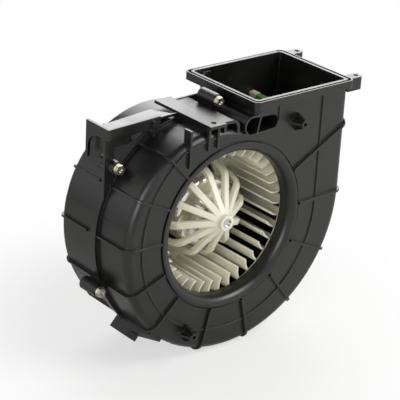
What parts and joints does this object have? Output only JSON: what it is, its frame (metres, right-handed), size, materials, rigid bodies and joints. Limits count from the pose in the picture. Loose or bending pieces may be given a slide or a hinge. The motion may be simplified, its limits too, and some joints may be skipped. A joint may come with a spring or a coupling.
{
  "type": "cabin blower fan",
  "caption": "Centrifugal cabin blower: a two-piece scroll housing with bell-mouth inlet, rectangular outlet and mounting bracket round a caged fan wheel on an electric motor.",
  "frame": {"origin": "centre of the air inlet, on the front face plane of the scroll", "axes": "-Y points out of the inlet along the fan axis, +Z points out of the outlet, +X points right as seen from the inlet"},
  "size_m": [0.2484, 0.126, 0.2136],
  "materials": {
    "housing_pp": "satin",
    "wheel_nylon": "satin",
    "zinc_steel": "satin",
    "bright_steel": "polished",
    "can_steel": "bright",
    "lamination_steel": "satin",
    "bronze": "satin",
    "copper": "satin",
    "ferrite": "matte",
    "carbon": "matte",
    "phenolic": "matte",
    "mount_plastic": "matte",
    "sleeve_rubber": "matte",
    "socket_plastic": "matte",
    "tinned_brass": "satin",
    "ceramic": "matte",
    "green_enamel": "gloss"
  },
  "bodies": {
    "housing": {"front_housing": "housing_pp", "rear_housing": "housing_pp", "housing_screws": "zinc_steel", "motor_can": "can_steel", "motor_end_cap": "can_steel", "front_bearing": "bronze", "rear_bearing": "bronze", "field_magnets": "ferrite", "brush_card": "phenolic", "brush_spring_upper": "bright_steel", "brush_spring_lower": "bright_steel", "motor_mount": "mount_plastic", "motor_sleeve": "sleeve_rubber", "mount_screws": "zinc_steel", "motor_socket": "socket_plastic", "motor_terminals": "tinned_brass", "resistor_base": "mount_plastic", "resistor_holder": "ceramic", "resistor_body": "green_enamel", "resistor_terminals": "tinned_brass", "resistor_screws": "zinc_steel"},
    "rotor": {"fan_wheel": "wheel_nylon", "hub_insert": "bright_steel", "motor_shaft": "bright_steel", "armature_core": "lamination_steel", "armature_windings": "copper", "commutator": "copper"},
    "upper_brush": {"brush_upper": "carbon"},
    "lower_brush": {"brush_lower": "carbon"}
  },
  "joints": [
    {"name": "wheel_spin", "type": "hinge", "parent": "housing", "child": "rotor", "pos_m": [0, 0, 0], "axis": [0, 1, 0], "continuous": true},
    {"name": "upper_brush_slide", "type": "slide", "parent": "housing", "child": "upper_brush", "axis": [0, 0, 1], "range_m": [0, 0.0025], "stiffness_N_per_m": 150, "springref_m": -0.006, "deforming": ["brush_spring_upper"]},
    {"name": "lower_brush_slide", "type": "slide", "parent": "housing", "child": "lower_brush", "axis": [0, 0, -1], "range_m": [0, 0.0025], "stiffness_N_per_m": 150, "springref_m": -0.006, "deforming": ["brush_spring_lower"]}
  ]
}
